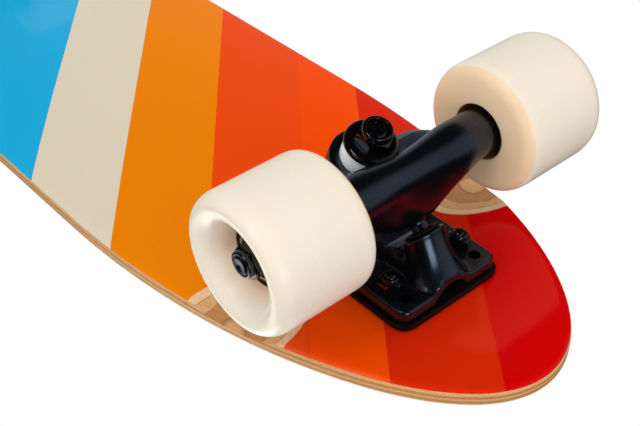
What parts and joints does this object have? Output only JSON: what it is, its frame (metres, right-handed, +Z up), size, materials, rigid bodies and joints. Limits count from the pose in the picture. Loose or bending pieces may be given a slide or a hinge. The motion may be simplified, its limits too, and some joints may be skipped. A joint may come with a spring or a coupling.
{
  "type": "cruiser skateboard",
  "caption": "Small cruiser skateboard: plied deck with kicktail, wheel wells and grip tape on steering trucks with soft wheels.",
  "frame": {"origin": "on the floor, below the middle of the board's length and width, with the board standing on its wheels", "axes": "+X along the board towards the nose, +Y to the left of a rider who faces the nose, +Z up from the floor"},
  "size_m": [0.6832, 0.1852, 0.1274],
  "materials": {
    "deck": "maple plies with a glossy printed underside",
    "grip": "coarse black grit on tape",
    "soft_black": "smooth satin rubber",
    "casting": "satin black coat over cast aluminium",
    "black_steel": "glossy black coated steel",
    "steel": "ground steel",
    "bearing": "polished rings with a pressed shield",
    "bushing": "glossy pale translucent urethane",
    "urethane": "smooth cream translucent urethane"
  },
  "bodies": {
    "board": {"deck": "deck", "grip_tape": "grip", "front_riser_pad": "soft_black", "front_baseplate": "casting", "front_pivot_cup": "soft_black", "front_kingpin": "black_steel", "front_lower_washer": "black_steel", "front_lower_bushing": "bushing", "front_upper_bushing": "bushing", "front_upper_washer": "black_steel", "front_kingpin_nut": "black_steel", "front_outer_left_bolt": "black_steel", "front_outer_left_locknut": "black_steel", "front_outer_right_bolt": "black_steel", "front_outer_right_locknut": "black_steel", "front_inner_left_bolt": "black_steel", "front_inner_left_locknut": "black_steel", "front_inner_right_bolt": "black_steel", "front_inner_right_locknut": "black_steel", "rear_riser_pad": "soft_black", "rear_baseplate": "casting", "rear_pivot_cup": "soft_black", "rear_kingpin": "black_steel", "rear_lower_washer": "black_steel", "rear_lower_bushing": "bushing", "rear_upper_bushing": "bushing", "rear_upper_washer": "black_steel", "rear_kingpin_nut": "black_steel", "rear_outer_left_bolt": "black_steel", "rear_outer_left_locknut": "black_steel", "rear_outer_right_bolt": "black_steel", "rear_outer_right_locknut": "black_steel", "rear_inner_left_bolt": "black_steel", "rear_inner_left_locknut": "black_steel", "rear_inner_right_bolt": "black_steel", "rear_inner_right_locknut": "black_steel"},
    "front_axle_body": {"front_hanger": "casting", "front_axle": "steel", "front_left_bearing_spacer": "steel", "front_left_axle_nut": "black_steel", "front_right_bearing_spacer": "steel", "front_right_axle_nut": "black_steel"},
    "rear_axle_body": {"rear_hanger": "casting", "rear_axle": "steel", "rear_left_bearing_spacer": "steel", "rear_left_axle_nut": "black_steel", "rear_right_bearing_spacer": "steel", "rear_right_axle_nut": "black_steel"},
    "front_left_wheel_body": {"front_left_wheel": "urethane", "front_left_inner_bearing": "bearing", "front_left_outer_bearing": "bearing"},
    "front_right_wheel_body": {"front_right_wheel": "urethane", "front_right_inner_bearing": "bearing", "front_right_outer_bearing": "bearing"},
    "rear_left_wheel_body": {"rear_left_wheel": "urethane", "rear_left_inner_bearing": "bearing", "rear_left_outer_bearing": "bearing"},
    "rear_right_wheel_body": {"rear_right_wheel": "urethane", "rear_right_inner_bearing": "bearing", "rear_right_outer_bearing": "bearing"}
  },
  "joints": [
    {"name": "front_steer", "type": "hinge", "parent": "board", "child": "front_axle_body", "pos_m": [0.23177, 0, 0.04051], "axis": [0.8982, 0, 0.4397], "range_deg": [-15, 15], "stiffness_Nm_per_rad": 45, "deforming": ["front_upper_bushing", "front_lower_bushing"]},
    {"name": "rear_steer", "type": "hinge", "parent": "board", "child": "rear_axle_body", "pos_m": [-0.14848, 0, 0.04051], "axis": [-0.8982, 0, 0.4397], "range_deg": [-15, 15], "stiffness_Nm_per_rad": 45, "deforming": ["rear_upper_bushing", "rear_lower_bushing"]},
    {"name": "front_left_spin", "type": "hinge", "parent": "front_axle_body", "child": "front_left_wheel_body", "pos_m": [0.25865, 0.0676, 0.03], "axis": [0, 1, 0], "continuous": true},
    {"name": "front_right_spin", "type": "hinge", "parent": "front_axle_body", "child": "front_right_wheel_body", "pos_m": [0.25865, -0.0676, 0.03], "axis": [0, 1, 0], "continuous": true},
    {"name": "rear_left_spin", "type": "hinge", "parent": "rear_axle_body", "child": "rear_left_wheel_body", "pos_m": [-0.17535, 0.0676, 0.03], "axis": [0, 1, 0], "continuous": true},
    {"name": "rear_right_spin", "type": "hinge", "parent": "rear_axle_body", "child": "rear_right_wheel_body", "pos_m": [-0.17535, -0.0676, 0.03], "axis": [0, 1, 0], "continuous": true}
  ]
}
